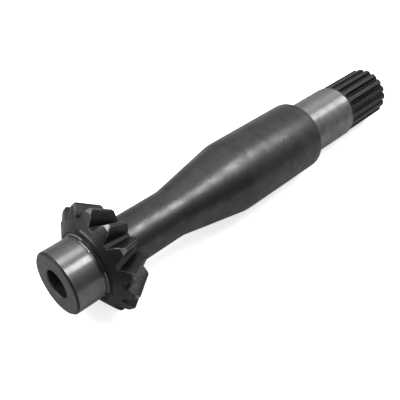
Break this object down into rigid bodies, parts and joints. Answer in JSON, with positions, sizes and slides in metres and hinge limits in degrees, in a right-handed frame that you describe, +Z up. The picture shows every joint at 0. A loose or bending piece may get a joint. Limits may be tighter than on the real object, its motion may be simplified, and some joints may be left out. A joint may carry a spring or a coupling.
{
  "type": "pinion shaft",
  "caption": "Straight bevel pinion cut on a tapered drive shaft, with a short nose journal, a barrel body, a rear journal and an external spline",
  "frame": {"origin": "bottom centre of the bounding box, on the floor that the shaft rests on", "axes": "+X from the nose journal towards the spline, along the shaft's length and 3 degrees above its dropping axis; +Z up; the part is symmetric about the XZ plane"},
  "size_m": [0.3076, 0.0714, 0.0698],
  "materials": {
    "steel": "blackened, oiled, with ground journals"
  },
  "bodies": {
    "root": {"pinion_shaft": "steel"}
  },
  "joints": []
}
